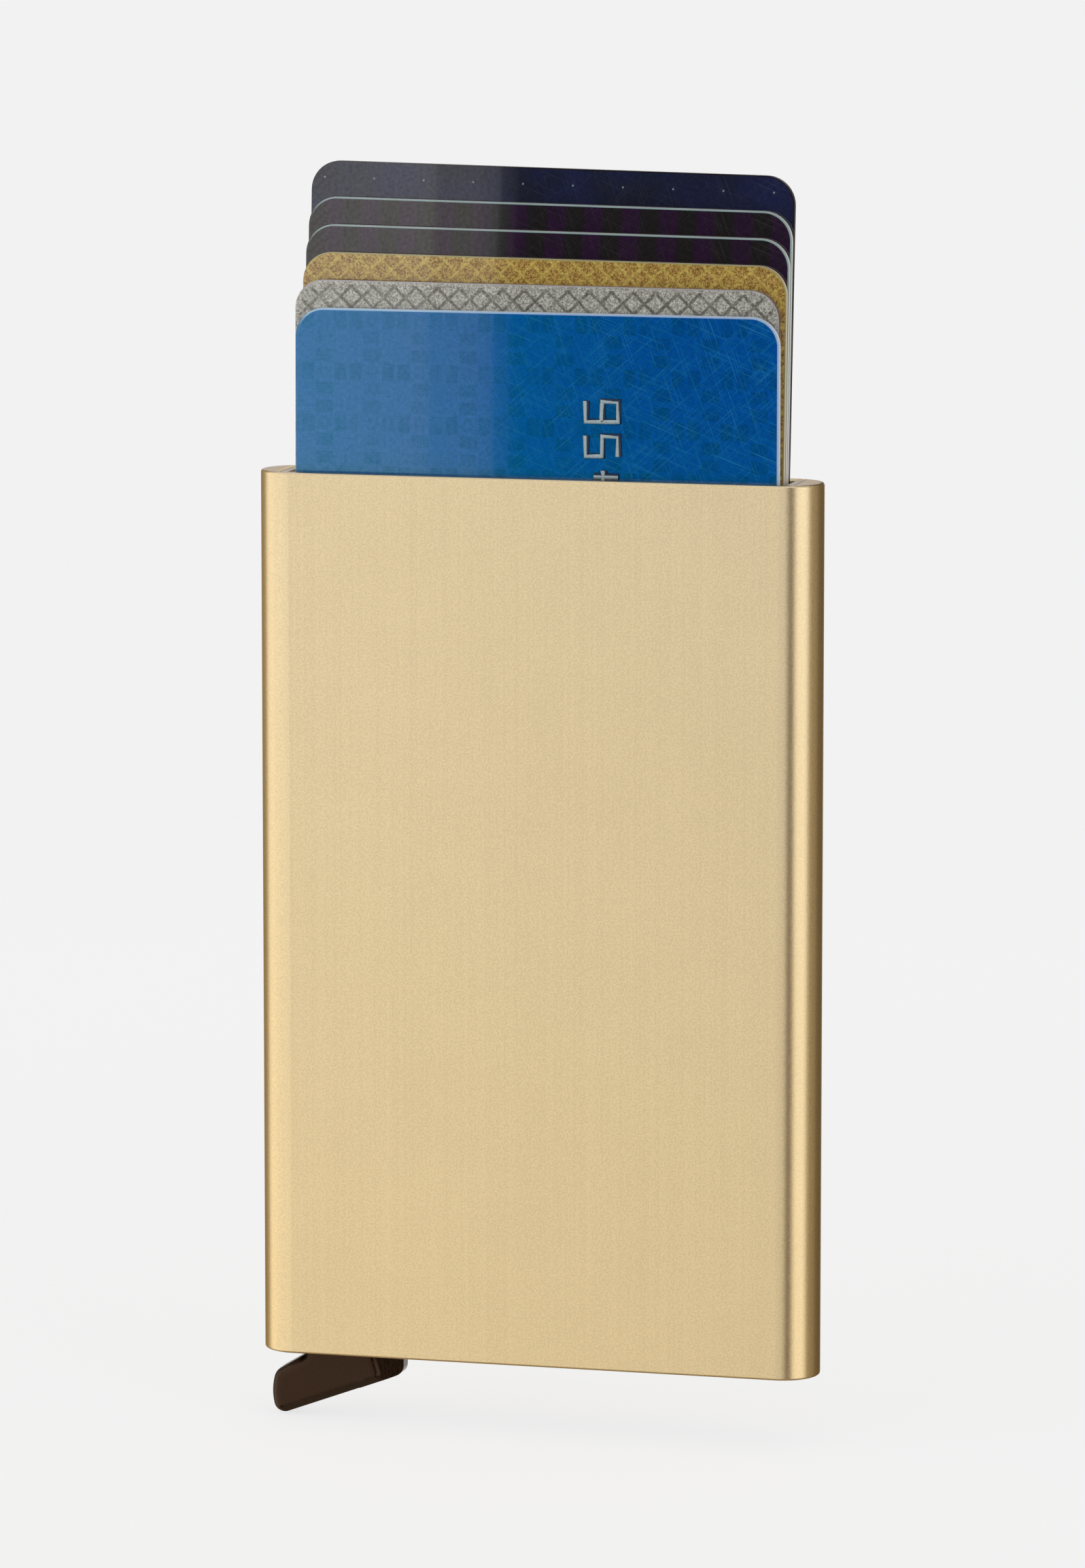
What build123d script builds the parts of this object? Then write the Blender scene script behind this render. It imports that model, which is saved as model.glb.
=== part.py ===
from build123d import *
import math
import os

# Pop up card holder. Millimetres, +Z up, seen from the front along +Y.
# The origin is the centre of the flat back face. The mouth for the cards is at the top,
# and the lever's finger tab hangs out under the left bottom corner.

# Cards: standard pocket cards, stacked with a little air between them
card_length = 85.6
card_width = 53.98
card_thickness = 0.76
card_corner_radius = 3.18
card_air = 0.14
card_names = ["blue", "silver", "gold", "black_front", "black_rear", "navy"]

# Room round the stack of cards in the case's slot, and how far a card sinks under the mouth
side_play = 0.91
stack_front_room = 0.52
stack_rear_room = 0.42
card_sink = 1.05

# Case: an extruded aluminium tube with flat faces and half-round solid sides
wall = 1.0
side_solid = 2.7
slot_corner_radius = 0.4
end_edge_radius = 0.3
mouth_chamfer = 0.2

# How far the front and rear card stand out of the mouth, and how the rest share the step between
front_card_out = 17.9
rear_card_out = 33.2
fan_shares = [0.0, 0.19, 0.37, 0.56, 0.75, 1.0]

# How far each card leans to the right, as shares of the most that its play between the guides allows
lean_shares = [0.0, 0.2, 0.55, 0.65, 0.72, 0.8]

# How far each card sits to the right of the slot's middle, as shares of the side play
side_shares = [0.12, -0.36, 0.0, 0.0, 0.0, 0.0]

# Chip module let into the face of each card, placed from the card's lower end and left edge
chip_length = 11.8
chip_width = 13.0
chip_thickness = 0.25
chip_corner_radius = 1.5
chip_fit = 0.03
chip_from_end = 15.0
chip_from_edge = 23.9

# Card guides: plain strips down both narrow ends of the slot
guide_thickness = 0.9
guide_fit = 0.05
guide_mouth_gap = 0.1
guide_carrier_gap = 0.5

# Grip pads: felt patches inside the mouth, before and behind the stack
pad_width = 12.0
pad_height = 10.0
pad_from_middle = 10.0
pad_from_mouth = 4.0
pad_air = 0.12

# Carrier: the moulded insert that closes the bottom end and holds the lever
carrier_fit = 0.05
carrier_sink = 0.3
carrier_floor = 1.2
carrier_rise = 9.5
cheek_thickness = 0.65
cheek_overlap = 1.0
cheek_corner_radius = 1.5
end_wall = 0.5
end_block_width = 5.2
end_block_wall = 0.9
rest_rib_width = 1.2
rest_rib_from_pivot = 22.0
snap_reach = 0.35
snap_height = 1.6
snap_width = 3.0
snap_from_bottom = 4.5
snap_groove_air = 0.1

# Lever: pivot, hub, the stepped arm under the cards, and the full swing
pivot_from_side = 7.0
pivot_from_bottom = 6.0
pin_radius = 1.0
pin_seat_fit = 0.01
pin_running_fit = 0.05
hub_radius = 3.2
hub_side_air = 0.1
swing_degrees = 55.0
arm_top_from_bottom = 10.6
arm_level_from_pivot = 5.0
arm_tip_height = 3.2
arm_root_height = 8.4
arm_root_from_pivot = 6.0
arm_widens_from_pivot = 13.0
nose_radius = 0.8
card_seat_air = 0.75
nose_air = 0.3
rest_rib_air = 0.1
lug_width = 1.0
lug_rise = 0.95
hub_touch_degrees = 18.0

# Finger tab: how far it hangs down, and where it starts and ends from the case's left side
tab_drop = 7.0
tab_left = 1.08
tab_right = 16.05
tab_edge_radius = 1.15
tab_bevel_height = 0.8
tab_bevel_depth = 0.85
neck_radius = 1.3
shoulder_radius = 1.6
tip_radius = 1.25
pad_end_radius = 1.3
web_end_thickness = 1.7
web_slope_degrees = 19.0
web_overlap = 2.2
web_corner_radius = 1.2
web_edge_radius = 0.7
tab_slot_air = 0.35

# One overrun serves all cuts
overrun = 1.0

# Outline of the finger tab before its corners are rounded, as shares of its reach and of its drop
neck_shares = (0.286, 0.035)
shoulder_shares = (0.027, 0.372)
tab_side_shares = (0.0, 0.645)
tip_corner_shares = (0.042, 1.09)
pad_end_shares = (0.876, 0.42)
pad_end_top_shares = (0.818, 0.0)

# Overall size of the case, round the stack of cards
card_count = len(card_names)
card_pitch = card_thickness + card_air
stack_depth = card_count * card_pitch - card_air
card_seat_from_bottom = arm_top_from_bottom + card_seat_air
case_width = card_width + 2 * (side_play + guide_thickness + side_solid)
case_height = card_seat_from_bottom + card_length + card_sink
case_depth = stack_depth + stack_front_room + stack_rear_room + 2 * wall

# Planes of the case
case_left = -case_width / 2
case_right = case_width / 2
case_bottom = -case_height / 2
case_top = case_height / 2
case_front = -case_depth
mid_depth = -case_depth / 2
slot_half_width = case_width / 2 - side_solid
slot_depth = case_depth - 2 * wall
slot_front = case_front + wall
slot_back = -wall

# Planes of the card stack
stack_front = slot_front + stack_front_room
stack_back = stack_front + stack_depth

# Pivot of the lever
pivot_x = case_left + pivot_from_side
pivot_z = case_bottom + pivot_from_bottom
swing = math.radians(swing_degrees)
most_lean = math.degrees(math.asin(2 * side_play / card_length))

# Planes of the carrier
carrier_half_width = slot_half_width - carrier_fit
carrier_front = slot_front + carrier_fit
carrier_back = slot_back - carrier_fit
carrier_bottom = case_bottom + carrier_sink
carrier_floor_top = carrier_bottom + carrier_floor
carrier_top = case_bottom + carrier_rise
hub_front = carrier_front + cheek_thickness + hub_side_air
hub_back = carrier_back - cheek_thickness - hub_side_air


def card_out(index):
    """How far a card stands out of the mouth."""
    return front_card_out + fan_shares[index] * (rear_card_out - front_card_out)


def card_foot(index):
    """Height of a card's lower edge."""
    return case_top + card_out(index) - card_length


def card_front(index):
    """Depth of a card's front face."""
    return stack_front + index * card_pitch


def card_middle(index):
    """Height of a card's middle, about which it leans."""
    return card_foot(index) + card_length / 2


def leaned(index, piece):
    """A piece of a card, moved sideways with the card and turned about its middle."""
    aside = side_shares[index] * side_play
    height = card_middle(index)
    return Pos(aside, 0, height) * Rot(0, lean_shares[index] * most_lean, 0) * Pos(0, 0, -height) * piece


def plate(outline, front, back):
    """A flat piece with its outline drawn in X and Z, reaching from front to back in depth."""
    plane = Plane(origin=(0, back, 0), x_dir=(1, 0, 0), z_dir=(0, -1, 0))
    return extrude(plane * outline, back - front)


def block(x_low, x_high, y_low, y_high, z_low, z_high):
    """A plain box between six planes."""
    size = (x_high - x_low, y_high - y_low, z_high - z_low)
    middle = ((x_low + x_high) / 2, (y_low + y_high) / 2, (z_low + z_high) / 2)
    return Pos(*middle) * Box(*size)


def rod(x, z, radius, front, back):
    """A round bar along the depth."""
    length = back - front
    return Pos(x, (front + back) / 2, z) * Rot(90, 0, 0) * Cylinder(radius, length)


def slot_prism(half_width, front, back, low, high, radius):
    """An upright bar with the rounded oblong section of the card slot."""
    section = RectangleRounded(2 * half_width, back - front, radius)
    return extrude(Pos(0, (front + back) / 2, low) * section, high - low)


def side_wedge(side, reach, height, width, low):
    """A barb on the outer side of the carrier: flat below, sloping above."""
    root = side * (carrier_half_width - carrier_fit)
    tip = side * (carrier_half_width + reach)
    outline = make_face(Polyline((root, low), (tip, low), (root, low + height), close=True))
    return plate(outline, mid_depth - width / 2, mid_depth + width / 2)


def case_tube():
    """The extruded tube, its outer end edges rounded and the mouth's inner edge broken."""
    tube = extrude(Pos(0, mid_depth, case_bottom) * SlotOverall(case_width, case_depth), case_height)
    end_edges = tube.edges().group_by(Axis.Z)
    tube = fillet(end_edges[0] + end_edges[-1], end_edge_radius)
    tube -= slot_prism(slot_half_width, slot_front, slot_back, case_bottom - overrun,
                       case_top + overrun, slot_corner_radius)
    mouth = tube.faces().sort_by(Axis.Z)[-1].inner_wires()[0]
    tube = chamfer(mouth.edges(), mouth_chamfer)
    for side in (-1, 1):
        groove_end = side * (slot_half_width + snap_reach + snap_groove_air)
        groove_start = side * (slot_half_width - carrier_fit)
        tube -= block(min(groove_start, groove_end), max(groove_start, groove_end),
                      mid_depth - snap_width / 2 - snap_groove_air,
                      mid_depth + snap_width / 2 + snap_groove_air,
                      case_bottom + snap_from_bottom - snap_groove_air,
                      case_bottom + snap_from_bottom + snap_height + snap_groove_air)
    return tube


def card_guide(side):
    """A strip that lines one narrow end of the slot, from above the carrier to the mouth."""
    outer = slot_half_width
    inner = slot_half_width - guide_thickness
    low = carrier_top + guide_carrier_gap
    high = case_top - guide_mouth_gap
    depth = slot_depth - 2 * guide_fit
    section = RectangleRounded(guide_thickness, depth, slot_corner_radius)
    middle = side * (outer + inner) / 2
    return extrude(Pos(middle, mid_depth, low) * section, high - low)


def grip_pads(front, back):
    """Two felt patches on one wall of the slot, leaving the middle free for raised numbers."""
    high = case_top - pad_from_mouth
    low = high - pad_height
    left = block(-pad_from_middle - pad_width, -pad_from_middle, front, back, low, high)
    right = block(pad_from_middle, pad_from_middle + pad_width, front, back, low, high)
    return Compound([left, right])


def chip_outline(index, gap):
    """Rounded oblong of the chip module, smaller by the gap all round."""
    x = chip_from_edge - card_width / 2
    z = card_foot(index) + chip_from_end
    return Pos(x, z) * RectangleRounded(chip_length - 2 * gap, chip_width - 2 * gap, chip_corner_radius - gap)


def card(index):
    """A plastic card with rounded corners and the pocket for its chip module."""
    outline = Pos(0, card_middle(index)) * RectangleRounded(card_width, card_length, card_corner_radius)
    front = card_front(index)
    body = plate(outline, front, front + card_thickness)
    return leaned(index, body - plate(chip_outline(index, 0), front - overrun, front + chip_thickness))


def chip(index):
    """The contact plate of a card, flush with the card's face."""
    front = card_front(index)
    return leaned(index, plate(chip_outline(index, chip_fit), front, front + chip_thickness))


def tab_point(shares):
    """A point of the finger tab's outline from its shares of reach and drop."""
    x = case_left + tab_left + shares[0] * (tab_right - tab_left)
    return x, case_bottom - shares[1] * tab_drop


def hub_touch():
    """Where the neck of the tab runs into the hub."""
    turn = math.radians(hub_touch_degrees)
    return pivot_x - hub_radius * math.cos(turn), pivot_z - hub_radius * math.sin(turn)


def neck_edge(z):
    """Sideways place of the neck's left edge at a height."""
    low_x, low_z = tab_point(neck_shares)
    high_x, high_z = hub_touch()
    return low_x + (z - low_z) * (high_x - low_x) / (high_z - low_z)


def long_edge(x):
    """Height of the tab's long lower edge, a straight line up to the right."""
    low_x, low_z = tab_point(tip_corner_shares)
    high_x, high_z = tab_point(pad_end_shares)
    return low_z + (x - low_x) * (high_z - low_z) / (high_x - low_x)


def web_corner_middle():
    """Middle of the rounded corner at the right end of the tab."""
    x = case_left + tab_right - web_corner_radius
    low_x, low_z = tab_point(tip_corner_shares)
    slope = math.atan2(long_edge(x) - low_z, x - low_x)
    return x, long_edge(x) + web_corner_radius / math.cos(slope)


def floor_starts():
    """Where the carrier's floor begins, clear of the widest sweep of the tab."""
    x, z = web_corner_middle()
    sweep = math.hypot(x - pivot_x, z - pivot_z) + web_corner_radius
    rise = pivot_z - carrier_floor_top
    return pivot_x + math.sqrt(sweep ** 2 - rise ** 2) + tab_slot_air


def arm_underside(x):
    """Height of the arm's underside, a straight line from its root to its tip."""
    arm_top = case_bottom + arm_top_from_bottom
    root_x = pivot_x + arm_root_from_pivot
    root_z = arm_top - arm_root_height
    tip_x = nose_middle(card_count - 1) + nose_radius
    tip_z = arm_top - arm_tip_height
    return root_z + (x - root_x) * (tip_z - root_z) / (tip_x - root_x)


def nose_middle(index):
    """Sideways place of the nose that lifts a card, so that the full swing brings it to the card's foot."""
    nose_rise = arm_top_from_bottom - nose_radius - pivot_from_bottom
    lift = card_foot(index) - nose_air - (case_bottom + arm_top_from_bottom)
    return pivot_x + (lift + nose_rise * (1 - math.cos(swing))) / math.sin(swing)


def lever_carrier():
    """The insert: floor, two cheeks round the lever's hub, rest rib, end block and side barbs."""
    left = -carrier_half_width
    right = carrier_half_width
    floor_left = floor_starts()
    sill_right = neck_edge(carrier_floor_top) - tab_slot_air
    insert = block(floor_left, right, carrier_front, carrier_back, carrier_bottom, carrier_floor_top)
    insert += block(left, sill_right, carrier_front, carrier_back, carrier_bottom, carrier_floor_top)
    insert += block(left, left + end_wall, carrier_front, carrier_back, carrier_bottom, carrier_top)
    cheek = block(left, floor_left + cheek_overlap, carrier_front, carrier_front + cheek_thickness,
                  carrier_bottom, carrier_top)
    inner_corner = cheek.edges().filter_by(Axis.Y).group_by(Axis.X)[-1].sort_by(Axis.Z)[-1]
    cheek = fillet(inner_corner, cheek_corner_radius)
    insert += cheek
    insert += Pos(0, carrier_back - carrier_front - cheek_thickness, 0) * cheek
    rib_x = pivot_x + rest_rib_from_pivot
    insert += block(rib_x - rest_rib_width / 2, rib_x + rest_rib_width / 2, carrier_front, carrier_back,
                    carrier_floor_top, arm_underside(rib_x - rest_rib_width / 2) - rest_rib_air)
    end_block = block(right - end_block_width, right, carrier_front, carrier_back, carrier_bottom, carrier_top)
    end_block -= block(right - end_block_width + end_block_wall, right - end_block_wall,
                       carrier_front + end_block_wall, carrier_back - end_block_wall,
                       carrier_floor_top, carrier_top + overrun)
    insert += end_block
    insert &= slot_prism(carrier_half_width, carrier_front, carrier_back, carrier_bottom, carrier_top,
                         slot_corner_radius)
    insert -= rod(pivot_x, pivot_z, pin_radius + pin_seat_fit, carrier_front - overrun, carrier_back + overrun)
    for side in (-1, 1):
        insert += side_wedge(side, snap_reach, snap_height, snap_width, case_bottom + snap_from_bottom)
    return insert


def pivot_pin():
    """The plain steel pin, as long as the carrier is deep."""
    return rod(pivot_x, pivot_z, pin_radius, carrier_front, carrier_back)


def arm_layer(index, start_x, front, back):
    """One step of the arm: level on top, with a round nose under its own card."""
    top = case_bottom + arm_top_from_bottom
    nose_x = nose_middle(index)
    tip_x = nose_x + nose_radius
    nose_mid = (nose_x + nose_radius * math.sin(math.pi / 4), top - nose_radius + nose_radius * math.cos(math.pi / 4))
    sides = Polyline((nose_x, top), (start_x, top), (start_x, arm_underside(start_x)),
                     (tip_x, arm_underside(tip_x)), (tip_x, top - nose_radius))
    nose = ThreePointArc((tip_x, top - nose_radius), nose_mid, (nose_x, top))
    return plate(make_face(sides + nose), front, back)


def arm_root():
    """The narrow inner part of the arm, from the hub to where the steps begin."""
    top = case_bottom + arm_top_from_bottom
    level_x = pivot_x + arm_level_from_pivot
    run = math.hypot(arm_level_from_pivot, top - pivot_z)
    slope = math.atan2(top - pivot_z, arm_level_from_pivot) - math.asin(hub_radius / run)
    touch = (pivot_x - hub_radius * math.sin(slope), pivot_z + hub_radius * math.cos(slope))
    wide_x = pivot_x + arm_widens_from_pivot
    root_x = pivot_x + arm_root_from_pivot
    outline = make_face(Polyline((pivot_x, pivot_z), (root_x, arm_underside(root_x)),
                                 (wide_x, arm_underside(wide_x)), (wide_x, top), (level_x, top), touch, close=True))
    return plate(outline, hub_front, hub_back)


def corner_at(face, point):
    """The corner of a drawn outline that lies at a point."""
    return face.vertices().sort_by_distance(Vertex(point[0], point[1]))[0]


def rims(body, left, right, high):
    """The edges of a flat piece's front and back faces that lie between two sides and under a height."""
    faces = body.faces().sort_by(Axis.Y)
    edges = faces[0].edges() + faces[-1].edges()
    return [edge for edge in edges if left < edge.center().X < right and edge.center().Z < high]


def finger_pad():
    """The thick part of the tab that the finger pushes, with its outer edges rounded."""
    neck = tab_point(neck_shares)
    shoulder = tab_point(shoulder_shares)
    tip_corner = tab_point(tip_corner_shares)
    pad_end = tab_point(pad_end_shares)
    pad_end_top = tab_point(pad_end_top_shares)
    outline = Polyline(pad_end, pad_end_top, (pad_end_top[0], pivot_z), (pivot_x, pivot_z), hub_touch(), neck, shoulder)
    outline += ThreePointArc(shoulder, tab_point(tab_side_shares), tip_corner)
    outline += Line(tip_corner, pad_end)
    face = make_face(outline)
    face = fillet(corner_at(face, neck), neck_radius)
    face = fillet(corner_at(face, shoulder), shoulder_radius)
    face = fillet(corner_at(face, tip_corner), tip_radius)
    face = fillet(corner_at(face, pad_end), pad_end_radius)
    pad = plate(face, hub_front, hub_back)
    rounded = rims(pad, case_left, pad_end[0] + tab_edge_radius, pivot_z - hub_radius / 2)
    return fillet(rounded, tab_edge_radius)


def tab_web():
    """The thin right part of the tab, which tapers to its end and swings into the case first."""
    inner_x = tab_point(pad_end_top_shares)[0] - web_overlap
    outer_x = case_left + tab_right
    corner = (outer_x, long_edge(outer_x))
    face = make_face(Polyline((inner_x, long_edge(inner_x)), corner, (outer_x, pivot_z), (inner_x, pivot_z), close=True))
    face = fillet(corner_at(face, corner), web_corner_radius)
    half_end = web_end_thickness / 2
    half_root = half_end + (outer_x - inner_x) * math.tan(math.radians(web_slope_degrees))
    taper = make_face(Polyline((inner_x, mid_depth - half_root), (outer_x, mid_depth - half_end),
                               (outer_x, mid_depth + half_end), (inner_x, mid_depth + half_root), close=True))
    web = plate(face, hub_front, hub_back)
    web &= extrude(Pos(0, 0, case_bottom - tab_drop) * taper, tab_drop + pivot_from_bottom)
    return fillet(rims(web, inner_x + web_edge_radius, case_right, pivot_z - web_edge_radius), web_edge_radius)


def tab_bevels():
    """What is cut off along the tab's long lower edge, in front and behind, to leave two flat bevels."""
    low_x = tab_point(tip_corner_shares)[0] - overrun
    high_x = case_left + tab_right + overrun
    low_z = long_edge(low_x)
    rise = long_edge(high_x) - low_z
    across = Plane(origin=(low_x, hub_front, low_z), x_dir=(0, 1, 0), z_dir=(high_x - low_x, 0, rise))
    above = tab_bevel_height * (1 + overrun / tab_bevel_depth)
    inside = tab_bevel_depth * (1 + overrun / tab_bevel_height)
    profile = make_face(Polyline((-overrun, above), (inside, -overrun), (-overrun, -overrun), close=True))
    wedge = extrude(across * profile, math.hypot(high_x - low_x, rise))
    return wedge + mirror(wedge, Plane(origin=(0, mid_depth, 0), z_dir=(0, 1, 0)))


def ejector_lever():
    """The one-piece lever: hub, stop lug, stepped arm and finger tab."""
    lever = rod(pivot_x, pivot_z, hub_radius, hub_front, hub_back)
    lug_top = pivot_z + hub_radius + lug_rise
    lever += block(pivot_x - lug_width / 2, pivot_x + lug_width / 2, hub_front, hub_back, pivot_z, lug_top)
    lever += arm_root()
    start_x = pivot_x + arm_widens_from_pivot
    for index in range(card_count):
        front = card_front(index) - card_air / 2
        lever += arm_layer(index, start_x, front, front + card_pitch)
    lever += finger_pad()
    lever += tab_web()
    lever -= tab_bevels()
    return lever - rod(pivot_x, pivot_z, pin_radius + pin_running_fit, hub_front - overrun, hub_back + overrun)


def build():
    """All the pieces by name."""
    pieces = {
        "case_tube": case_tube(),
        "lever_carrier": lever_carrier(),
        "pivot_pin": pivot_pin(),
        "ejector_lever": ejector_lever(),
        "left_card_guide": card_guide(-1),
        "right_card_guide": card_guide(1),
        "front_grip_pads": grip_pads(slot_front, stack_front - pad_air),
        "rear_grip_pads": grip_pads(stack_back + pad_air, slot_back),
    }
    for index, name in enumerate(card_names):
        pieces["card_" + name] = card(index)
        pieces["chip_" + name] = chip(index)
    return pieces


os.makedirs("parts", exist_ok=True)
for name, piece in build().items():
    export_step(piece, "parts/" + name + ".step")
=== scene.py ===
import math

import bmesh
import bpy
from mathutils import Matrix, Vector


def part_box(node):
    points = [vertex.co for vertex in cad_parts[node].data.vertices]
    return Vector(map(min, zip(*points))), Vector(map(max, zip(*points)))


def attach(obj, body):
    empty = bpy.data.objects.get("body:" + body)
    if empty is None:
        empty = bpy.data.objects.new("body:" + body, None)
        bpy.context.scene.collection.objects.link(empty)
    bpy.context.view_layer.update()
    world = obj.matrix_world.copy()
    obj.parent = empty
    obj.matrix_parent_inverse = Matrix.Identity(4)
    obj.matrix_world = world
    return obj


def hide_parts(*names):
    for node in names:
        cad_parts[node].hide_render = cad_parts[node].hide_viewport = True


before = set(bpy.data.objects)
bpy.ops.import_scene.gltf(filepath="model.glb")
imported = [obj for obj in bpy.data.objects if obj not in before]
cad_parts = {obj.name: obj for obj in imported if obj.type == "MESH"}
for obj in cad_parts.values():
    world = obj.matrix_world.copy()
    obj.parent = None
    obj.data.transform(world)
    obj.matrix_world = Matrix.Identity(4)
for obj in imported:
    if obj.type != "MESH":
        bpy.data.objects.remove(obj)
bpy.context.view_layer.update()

# Case
# An extruded aluminium tube, flat in front and behind, with half-round sides. It is bead blasted over faint
# die lines and anodised champagne gold, paler on the square milled ends. Painted shade darkens its lower
# end.


class Value:
    """A shader socket that can stand in a sum; each sum adds its Math node."""

    def __init__(self, finish, socket):
        self.finish = finish
        self.socket = socket

    def maths(self, operation, *others):
        terms = (self, *others)
        return self.finish.node("Math", {"operation": operation}, dict(enumerate(terms)))

    def turned(self, operation, other):
        return self.finish.node("Math", {"operation": operation}, {0: other, 1: self})

    def __add__(self, other):
        return self.maths("ADD", other)

    __radd__ = __add__

    def __sub__(self, other):
        return self.maths("SUBTRACT", other)

    def __rsub__(self, other):
        return self.turned("SUBTRACT", other)

    def __mul__(self, other):
        return self.maths("MULTIPLY", other)

    __rmul__ = __mul__

    def __truediv__(self, other):
        return self.maths("DIVIDE", other)

    def __mod__(self, other):
        return self.maths("FLOORED_MODULO", other)

    def __lt__(self, other):
        return self.maths("LESS_THAN", other)

    def __gt__(self, other):
        return self.maths("GREATER_THAN", other)

    def __abs__(self):
        return self.maths("ABSOLUTE")

    def least(self, other):
        return self.maths("MINIMUM", other)

    def most(self, other):
        return self.maths("MAXIMUM", other)

    def within(self, low, high):
        """1 between two values and 0 outside them."""
        return (self > low) * (self < high)

    def beside(self, other):
        """Distance from the middle, from two distances at right angles."""
        return (self * self + other * other).maths("SQRT")

    def rise(self, low, high):
        """A soft step from 0 at low to 1 at high."""
        settings = {"interpolation_type": "SMOOTHSTEP"}
        return self.finish.node("MapRange", settings, {"Value": self, "From Min": low, "From Max": high})


class Finish:
    """The surface of a material, or the light of the sky, built from its shader nodes."""

    def __init__(self, owner):
        self.owner = owner
        owner.use_nodes = True
        self.tree = owner.node_tree

    def node(self, kind, settings, sockets, output=0):
        """Adds a node: first its settings, then the values or links of its sockets."""
        made = self.tree.nodes.new("ShaderNode" + kind)
        for key, value in settings.items():
            setattr(made, key, value)
        for key, value in sockets.items():
            self.feed(made.inputs[key], value)
        return Value(self, made.outputs[output])

    def feed(self, socket, value):
        """Sets one socket, or links it."""
        if isinstance(value, Value):
            self.tree.links.new(value.socket, socket)
        elif socket.type == "RGBA":
            socket.default_value = (*value, 1.0)
        else:
            socket.default_value = value

    def surface(self, sockets):
        """Feeds the sockets of the material's own Principled shader."""
        shader = self.tree.nodes["Principled BSDF"]
        for key, value in sockets.items():
            self.feed(shader.inputs[key], value)

    def place(self):
        """Position on the piece in millimetres, as a vector."""
        position = self.node("TexCoord", {}, {}, "Object")
        return self.node("VectorMath", {"operation": "SCALE"}, {0: position, "Scale": per_metre})

    def facing(self):
        """The way that the surface faces, as a vector."""
        return self.node("TexCoord", {}, {}, "Normal")

    def parts(self, vector):
        """The three numbers of a vector."""
        return [self.node("SeparateXYZ", {}, {0: vector}, axis) for axis in range(3)]

    def stretched(self, vector, x, y, z):
        """A vector with each axis divided by its own length, to stretch a texture along it."""
        lengths = (1 / x, 1 / y, 1 / z)
        return self.node("VectorMath", {"operation": "MULTIPLY"}, {0: vector, 1: lengths})

    def noise(self, vector, grain=1.0, detail=2.0):
        """Soft random variation from 0 to 1, with spots about as wide as the grain."""
        return self.node("TexNoise", {}, {"Vector": vector, "Scale": 1 / grain, "Detail": detail})

    def mix(self, factor, first, second):
        """A colour between two colours."""
        return self.node("Mix", {"data_type": "RGBA"}, {0: factor, 6: first, 7: second}, 2)

    def scaled(self, colour, share):
        """A colour with all three of its parts times one number."""
        return self.node("VectorMath", {"operation": "SCALE"}, {0: colour, "Scale": share})

    def relief(self, height, depth):
        """A surface direction from a height, with the depth of the relief in metres."""
        return self.node("Bump", {}, {"Strength": 1.0, "Distance": depth, "Height": height})


def new_finish(name):
    """An empty finish under its own name."""
    return Finish(bpy.data.materials.new(name))


def seen(red, green, blue):
    """The light that a colour sends back, from the 8-bit values it is seen as on a screen."""
    shares = [value / 255 for value in (red, green, blue)]
    return tuple(share / 12.92 if share < 0.04045 else ((share + 0.055) / 1.055) ** 2.4 for share in shares)


def dress(node, finish):
    """Gives a CAD piece its finish."""
    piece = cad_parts[node]
    if not piece.material_slots:
        piece.data.materials.append(finish.owner)
    for slot in piece.material_slots:
        slot.material = finish.owner


per_metre = 1000.0
case_gold_high = seen(236, 217, 177)
case_gold_shaded_low = seen(234, 210, 162)
case_gold_edge = seen(236, 222, 198)
case_gold_dull = 0.87
case_end = seen(198, 189, 184)
case_roughness = 0.29
end_facing = 0.8
half_height = 49.0
lower_shade_reach = 1.6 * half_height
blast_grain = 0.19
blast_depth = 0.000005
blast_roughness = 0.06
blast_share = 0.74
die_line_lengths = (0.3, 0.3, 90.0)
die_line_share = 0.16
tint_patch = 9.0
tint_share = 0.1
bright_range = (0.36, 0.64)

case_finish = new_finish("case_champagne_gold")
place = case_finish.place()
blast = case_finish.noise(place, blast_grain, detail=1.0)
die_lines = case_finish.noise(case_finish.stretched(place, *die_line_lengths))
tint = case_finish.noise(place, tint_patch)
# Painted shade: the gold turns darker and warmer towards the lower end.
lower_end_shade = case_finish.parts(place)[2].rise(-lower_shade_reach, lower_shade_reach)
upwards = case_finish.parts(case_finish.facing())[2]
gold = case_finish.mix(lower_end_shade, case_gold_shaded_low, case_gold_high)
gold = case_finish.mix(abs(upwards) > end_facing, gold, case_end)
bright = (blast * blast_share + die_lines * die_line_share + tint * tint_share).rise(*bright_range)
case_finish.surface({
    "Base Color": case_finish.scaled(gold, case_gold_dull + bright * (1.0 - case_gold_dull)),
    "Metallic": 1.0,
    "Specular Tint": case_gold_edge,
    "Roughness": case_roughness + blast * blast_roughness,
    "Normal": case_finish.relief(blast, blast_depth),
})
dress("case_tube", case_finish)

# Carrier
# The insert that closes the bottom end and carries the lever between two thin cheeks. It is moulded
# in black nylon with a fine grain, and snaps into grooves in the tube's side walls.

carrier_black = seen(38, 36, 36)
carrier_black_worn = seen(52, 50, 49)
carrier_roughness = 0.5
mould_grain = 0.12
mould_depth = 0.000006
mould_roughness = 0.15

carrier_finish = new_finish("carrier_black_nylon")
place = carrier_finish.place()
grain = carrier_finish.noise(place, mould_grain)
carrier_finish.surface({
    "Base Color": carrier_finish.mix(grain, carrier_black, carrier_black_worn),
    "Roughness": carrier_roughness + grain * mould_roughness,
    "Normal": carrier_finish.relief(grain, mould_depth),
})
dress("lever_carrier", carrier_finish)

# Pivot pin
# A ground steel pin, 2 mm thick, pressed through both cheeks of the carrier. The lever turns on it,
# and the fine rings of the grinding run round it.

pin_steel = seen(190, 190, 188)
pin_steel_dull = seen(150, 150, 150)
pin_roughness = 0.22
grinding_lengths = (1.0, 0.05, 1.0)
grinding_roughness = 0.15

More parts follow.
